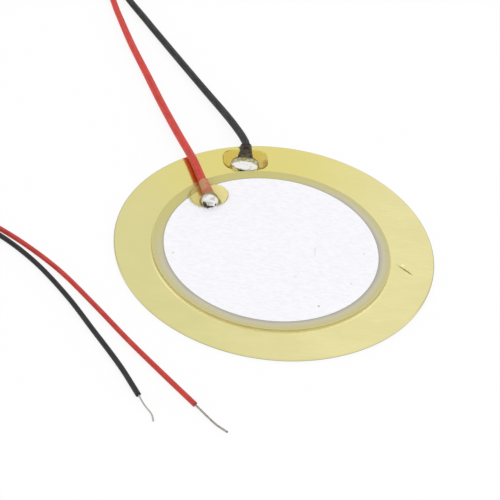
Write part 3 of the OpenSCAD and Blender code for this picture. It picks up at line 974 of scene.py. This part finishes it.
def cut_level(piece, height):
    """Cuts a piece level at a height, drops what is below, and closes the cut."""
    select_only(piece)
    bpy.ops.object.mode_set(mode="EDIT")
    bpy.ops.mesh.select_all(action="SELECT")
    bpy.ops.mesh.bisect(plane_co=(0, 0, height), plane_no=(0, 0, 1), use_fill=True, clear_inner=True,
                        threshold=0.00001 * MM)
    bpy.ops.object.mode_set(mode="OBJECT")


def melt(name, parts, voxel, rounds):
    """Runs parts together into one body, as a liquid does, and smooths it."""
    select_only(*parts)
    if len(parts) > 1:
        bpy.ops.object.join()
    piece = parts[0]
    piece.name = name
    piece.data.name = name
    apply_place(piece)
    blended = piece.modifiers.new("run together", "REMESH")
    blended.mode = "VOXEL"
    blended.voxel_size = voxel
    eased = piece.modifiers.new("ease", "SMOOTH")
    eased.factor = 0.5
    eased.iterations = rounds
    apply_modifiers(piece)
    return piece


def add_egg(centre, radii, turn=0, tilt=0):
    """A ball stretched to three radii, turned about Z, its first axis tilted up before that."""
    bpy.ops.mesh.primitive_uv_sphere_add(segments=EGG_SIDES, ring_count=EGG_RINGS, radius=1, location=centre,
                                         rotation=(0, -math.radians(tilt), math.radians(turn)))
    egg = bpy.context.active_object
    egg.scale = radii
    return egg


def make_ball(joint):
    """The solder ball on the silver, with the thin foot where it wets it."""
    radius = joint.ball_diameter / 2
    foot_radius, foot_top_radius = 0.8 * MM, 0.7 * MM
    foot_depth, foot_lift = 0.1 * MM, 0.02 * MM
    foot_mid = BALL_FOOT + Vector((-0.06 * MM, 0, 0))
    ball = add_egg(foot_mid + Vector((0, 0, joint.ball_height - radius)), (radius, radius, radius))
    bpy.ops.mesh.primitive_cone_add(vertices=EGG_SIDES, radius1=foot_radius, radius2=foot_top_radius,
                                    depth=foot_depth, location=foot_mid + Vector((0, 0, foot_lift)))
    foot = bpy.context.active_object
    piece = melt("signal_solder", [ball, foot], SOLDER_VOXEL, rounds=5)
    cut_level(piece, SILVER_TOP)
    return piece


def make_mound(joint):
    """The solder mound on the brass, drawn out along the rim and bulging over its foot."""
    bulge = 0.12 * MM
    radii = (joint.mound_width / 2, joint.mound_depth / 2, joint.mound_height - bulge)
    mid = MOUND_FOOT + Vector((-0.09 * MM, -0.02 * MM, bulge))
    piece = melt("ground_solder", [add_egg(mid, radii, MOUND_TURN)], SOLDER_VOXEL, rounds=3)
    cut_level(piece, BRASS_TOP)
    return piece


class PIEZO_OT_solder(bpy.types.Operator):
    """Models the solder ball and the solder mound, and finishes the cores inside them"""
    bl_idname = "piezo.solder"
    bl_label = "Solder"

    def execute(self, context):
        joint = context.scene.piezo_joints
        for piece, stains_and_reflections, solid in ((make_ball(joint), ball_film_and_reflections, "red_solder"),
                                     (make_mound(joint), mound_film_and_reflection, "black_solder")):
            smooth_by_angle(piece, 60)
            stand_in(piece, solder_finish(f"{solid}_metal", joint.solder, stains_and_reflections), solid)
        wire = tinned_finish("core_metal", context.scene.piezo_leads.wire)
        finish_node("red_core", wire)
        finish_node("black_core", wire)
        return {"FINISHED"}


# ---------------------------------------------------------------- flux


def absorb(tree, tint, depth):
    """A clear inside that colours white light with a tint over a depth."""
    losses = [-math.log(share) / depth for share in tint]
    densest = max(losses)
    inside = node(tree, "ShaderNodeVolumeAbsorption",
                  {"Color": tuple(1 - loss / densest for loss in losses), "Density": densest})
    put(tree, tree.nodes["Material Output"].inputs["Volume"], inside.outputs[0])


def flux_finish(name, tint, haze, cloud):
    """Clear resin, as clouded as the function haze makes it, in the colour that the function cloud gives."""
    material, tree, shader = new_finish(name)
    cloudy = haze(tree)
    fill(tree, shader, {"Base Color": mix(tree, ramp(tree, cloudy, 0, 0.3), (1, 1, 1), cloud(tree)),
                        "Roughness": ramp(tree, cloudy, 0, 1, 0.05, 0.5),
                        "IOR": 1.2,
                        "Transmission Weight": reckon(tree, "SUBTRACT", 1, cloudy)})
    bump(tree, shader, noise(tree, place(tree), 2200), 0.012 * MM)
    absorb(tree, tint, FLUX_DEPTH)
    return material


def out_from(foot, axis, far, rise=0):
    """A point out from a joint's foot along its lead, in millimetres, and up from it."""
    turn = math.radians(axis.heading)
    return foot + MM * Vector((far * math.cos(turn), far * math.sin(turn), rise))


# The pale pool: an egg with its middle a little behind the ball, turned and tilted in degrees
POOL_MID = out_from(BALL_FOOT, RED_AXIS, 0.85)
POOL_RADII = (1.95 * MM, 1.52 * MM, 0.1 * MM)
POOL_TURN = 40
POOL_TILT = 1.5

# The amber pool: a pad with rounded corners and a rounded top edge, made thicker than it shows and cut off
# just below the brass's top
PAD_WIDTH = 3.85 * MM
PAD_DEPTH = 2.3 * MM
PAD_HEIGHT = 0.2 * MM
PAD_THICKNESS = 0.5 * MM
PAD_CORNER = 0.85 * MM
PAD_EDGE = 0.19 * MM
PAD_TURN = 11


def red_lead_spill_and_shadow(tree):
    """Share of the brown along the left of the red lead on the disc: partly spilt flux, partly the lead's
    painted shadow and red reflection.
    """
    out, across, _ = beside_ball(tree)
    beside = within(tree, reckon(tree, "ADD", across, waver(tree, 1800, 0.1 * MM)), -0.5, -0.3, 0.42, 0.85)
    return reckon(tree, "MULTIPLY", beside, within(tree, out, 0.7, 1.1, 3.0, 3.4))


def pool_share(tree):
    """How much of the pale pool there is: all of it at its middle, and none at its front left edge."""
    local = place(tree, (1 / (1.9 * MM), 1 / (1.52 * MM), 0), POOL_MID, math.radians(POOL_TURN))
    x, y, _ = split(tree, local)
    frontal = ramp(tree, reckon(tree, "ADD", x, reckon(tree, "MULTIPLY", y, 0.5)), 0.1, -0.6)
    start = ramp(tree, frontal, 0, 1, 0.93, 0.66)
    return ramp(tree, distance(tree, local), 1.0, start)


def red_haze(tree):
    """Clouding of the pool, thinning out at its edge, and of the coat on the red lead."""
    out, _, up = beside_ball(tree)
    pool = reckon(tree, "MULTIPLY", ramp(tree, up, 0.004 * MM, 0.03 * MM, 0, 0.85), pool_share(tree))
    coat = reckon(tree, "MULTIPLY", ramp(tree, out, 2.3 * MM, 2.1 * MM, 0.5, 0.95),
                  ramp(tree, up, 0.16 * MM, 0.3 * MM))
    # Clouded where spilt flux and the red lead's painted shadow lie
    spill_and_shadow = reckon(tree, "MULTIPLY", red_lead_spill_and_shadow(tree), 0.85)
    return reckon(tree, "MAXIMUM", pool, coat, spill_and_shadow)


def pool_cloud(tree, out, across):
    """Pale yellow in the pool, duller on bare ceramic, brown round the ball's back, and brown where spilt
    flux and the red lead's painted shadow lie.
    """
    from_mid = distance(tree, place(tree, LEVEL, CERAMIC_MID))
    on_ceramic = ramp(tree, from_mid, SILVER_RADIUS - 0.05 * MM, SILVER_RADIUS + 0.05 * MM)
    from_ball = distance(tree, place(tree, LEVEL, BALL_FOOT))
    behind_ball = reckon(tree, "MULTIPLY", ramp(tree, from_ball, 1.0 * MM, 0.84 * MM),
                         ramp(tree, out, -0.6 * MM, -0.1 * MM))
    pale = mix(tree, ramp(tree, across, 0, 0.7 * MM), srgb(244, 232, 160), srgb(232, 218, 142))
    return painted(tree, pale, [(on_ceramic, srgb(203, 184, 107)), (behind_ball, srgb(150, 140, 98)),
                                (red_lead_spill_and_shadow(tree), srgb(184, 130, 62))])


def red_cloud(tree):
    """The pool's colours low down, and on the coat tan, redder where the lead shows through."""
    out, across, up = beside_ball(tree)
    ragged = reckon(tree, "ADD", across, waver(tree, 2400, 0.2 * MM))
    coat = mix(tree, ramp(tree, ragged, -0.3 * MM, 0.1 * MM), srgb(200, 112, 90), srgb(198, 144, 108))
    coat = mix(tree, ramp(tree, out, 0.75 * MM, 1.25 * MM), srgb(186, 114, 88), coat)
    high = reckon(tree, "MULTIPLY", ramp(tree, up, 0.14 * MM, 0.24 * MM),
                  ramp(tree, out, 0.35 * MM, 0.6 * MM))
    return mix(tree, high, pool_cloud(tree, out, across), coat)


def black_haze(tree):
    """Clouding of the coat on the black lead, of the pool's foot and of its two ends."""
    out, across, up = beside_mound(tree)
    patches = noise(tree, place(tree), 3200)
    body = reckon(tree, "MULTIPLY", ramp(tree, up, 0.22 * MM, 0.4 * MM),
                  ramp(tree, patches, *PATCH_SPAN, 0.92, 1))
    foot = reckon(tree, "MULTIPLY", ramp(tree, up, 0.15 * MM, 0.04 * MM, 0, 0.6),
                  ramp(tree, out, 2.0 * MM, 1.5 * MM))
    right = reckon(tree, "MULTIPLY", ramp(tree, across, -1.1 * MM, -1.8 * MM, 0, 0.24),
                   ramp(tree, out, 1.3 * MM, 0.7 * MM))
    left = ramp(tree, across, 1.75 * MM, 1.95 * MM, 0, 0.3)
    return reckon(tree, "MAXIMUM", body, foot, right, left)


def black_cloud(tree):
    """Charred and dark on the lead, olive over the mound."""
    out, across, up = beside_mound(tree)
    patches = ramp(tree, noise(tree, place(tree, centre=(MM, 0, 0)), 4200), *PATCH_SPAN)
    char = mix(tree, patches, srgb(30, 27, 28), srgb(80, 71, 54))
    body = mix(tree, ramp(tree, out, 0.26 * MM, 0.46 * MM), mound_film(tree), char)
    aside = reckon(tree, "ABSOLUTE", reckon(tree, "ADD", across, 0.1 * MM))
    pool = mix(tree, ramp(tree, aside, 1.15 * MM, 1.6 * MM), srgb(214, 196, 140), srgb(204, 178, 78))
    high = reckon(tree, "MULTIPLY", ramp(tree, up, 0.16 * MM, 0.26 * MM),
                  ramp(tree, aside, 1.4 * MM, 1.25 * MM))
    return mix(tree, high, pool, body)


def bar_on_axis(axis, start, end, start_radius, end_radius):
    """A round tapered bar on a joint's axis between two level distances from the joint's middle."""
    a, b = on_axis(axis, start), on_axis(axis, end)
    turn = (b - a).to_track_quat("Z", "Y").to_euler()
    bpy.ops.mesh.primitive_cone_add(vertices=BAR_SIDES, radius1=start_radius, radius2=end_radius,
                                    depth=(b - a).length, location=(a + b) / 2, rotation=turn)
    return bpy.context.active_object


def bevel_corners(piece, offset, chosen, segments):
    """Rounds the edges of a piece that the function chosen picks by their two ends, in edit mode."""
    select_only(piece)
    bpy.ops.object.mode_set(mode="EDIT")
    bpy.ops.mesh.select_mode(type="EDGE")
    bpy.ops.mesh.select_all(action="DESELECT")
    bm = bmesh.from_edit_mesh(piece.data)
    for edge in bm.edges:
        edge.select = chosen(edge.verts[0].co, edge.verts[1].co)
    bmesh.update_edit_mesh(piece.data)
    bpy.ops.mesh.bevel(offset=offset, segments=segments, affect="EDGES")
    bpy.ops.object.mode_set(mode="OBJECT")


def make_red_flux():
    """The pool round the ball, the film behind the ball and the coat on the insulation."""
    film_mid = out_from(BALL_FOOT, RED_AXIS, 0.1, 0.2)
    film_radius = 0.73 * MM
    coat_end = SLEEVE_END - 0.05 * MM
    coat_start_radius, coat_end_radius = 0.47 * MM, 0.41 * MM
    pool = add_egg(POOL_MID, POOL_RADII, POOL_TURN, POOL_TILT)
    film = add_egg(film_mid, (film_radius, film_radius, film_radius))
    coat = bar_on_axis(RED_AXIS, COAT_START, coat_end, coat_start_radius, coat_end_radius)
    piece = melt("signal_flux", [pool, film, coat], FLUX_VOXEL, rounds=6)
    cut_level(piece, SILVER_TOP - FLUX_SINK)
    return piece


def add_pad():
    """The amber pool: a block with its upright edges rounded, and then the edges of its top."""
    mid = out_from(MOUND_FOOT, BLACK_AXIS, 0.85, (PAD_HEIGHT - PAD_THICKNESS / 2) / MM)
    bpy.ops.mesh.primitive_cube_add(size=1, location=mid, rotation=(0, 0, math.radians(PAD_TURN)))
    pad = bpy.context.active_object
    pad.scale = (PAD_WIDTH, PAD_DEPTH, PAD_THICKNESS)
    apply_place(pad)
    upright = 0.8 * PAD_THICKNESS
    bevel_corners(pad, PAD_CORNER, lambda a, b: abs(a.z - b.z) > upright, segments=10)
    top = BRASS_TOP + 0.99 * PAD_HEIGHT
    bevel_corners(pad, PAD_EDGE, lambda a, b: a.z > top and b.z > top, segments=6)
    return pad


def make_black_flux():
    """The pool round the mound, the film behind the mound, and the coat on the insulation with its skirt."""
    film_mid = out_from(MOUND_FOOT, BLACK_AXIS, 0.18)
    film_radii = (1.27 * MM, 0.82 * MM, 0.67 * MM)
    coat_end = SLEEVE_END - 0.3 * MM
    coat_start_radius, coat_end_radius = 0.57 * MM, 0.49 * MM
    skirt_mid = out_from(MOUND_FOOT, BLACK_AXIS, 1.1)
    skirt_radii = (0.72 * MM, 0.75 * MM, 0.42 * MM)
    pool = add_pad()
    film = add_egg(film_mid, film_radii, MOUND_TURN)
    coat = bar_on_axis(BLACK_AXIS, COAT_START, coat_end, coat_start_radius, coat_end_radius)
    skirt = add_egg(skirt_mid, skirt_radii, BLACK_AXIS.heading - 90)
    piece = melt("ground_flux", [pool, film, coat, skirt], FLUX_VOXEL, rounds=6)
    cut_level(piece, BRASS_TOP - FLUX_SINK)
    return piece


class PIEZO_OT_flux(bpy.types.Operator):
    """Models the flux that ran out round both joints and froze"""
    bl_idname = "piezo.flux"
    bl_label = "Flux"

    def execute(self, context):
        joint = context.scene.piezo_joints
        pale = flux_finish("pale_flux", joint.pale_flux, red_haze, red_cloud)
        amber = flux_finish("amber_flux", joint.amber_flux, black_haze, black_cloud)
        stand_in(make_red_flux(), pale, "red_flux")
        stand_in(make_black_flux(), amber, "black_flux")
        return {"FINISHED"}


# ---------------------------------------------------------------- panel and registration


STEPS = [PIEZO_OT_stage, PIEZO_OT_bare_ends, PIEZO_OT_leads, PIEZO_OT_disc, PIEZO_OT_solder, PIEZO_OT_flux]
SETTINGS = {"piezo_stage": StageSettings, "piezo_disc": DiscSettings, "piezo_leads": LeadSettings,
            "piezo_joints": JointSettings}


class PIEZO_PT_panel(bpy.types.Panel):
    """Lists the steps and the sizes and colours they use"""
    bl_idname = "PIEZO_PT_panel"
    bl_label = "Piezo disc"
    bl_space_type = "VIEW_3D"
    bl_region_type = "UI"
    bl_category = "Piezo disc"

    def draw(self, context):
        for step in STEPS:
            self.layout.operator(step.bl_idname)
        for name, settings in SETTINGS.items():
            box = self.layout.box()
            for key in settings.__annotations__:
                box.prop(getattr(context.scene, name), key)


CLASSES = [*SETTINGS.values(), *STEPS, PIEZO_PT_panel]


def register():
    for made in CLASSES:
        bpy.utils.register_class(made)
    for name, settings in SETTINGS.items():
        setattr(bpy.types.Scene, name, PointerProperty(type=settings))


def unregister():
    for name in SETTINGS:
        delattr(bpy.types.Scene, name)
    for made in reversed(CLASSES):
        bpy.utils.unregister_class(made)


def main():
    register()
    bpy.ops.piezo.stage()
    bpy.ops.piezo.bare_ends()
    bpy.ops.piezo.leads()
    bpy.ops.piezo.disc()
    bpy.ops.piezo.solder()
    bpy.ops.piezo.flux()


if __name__ == "__main__":
    main()
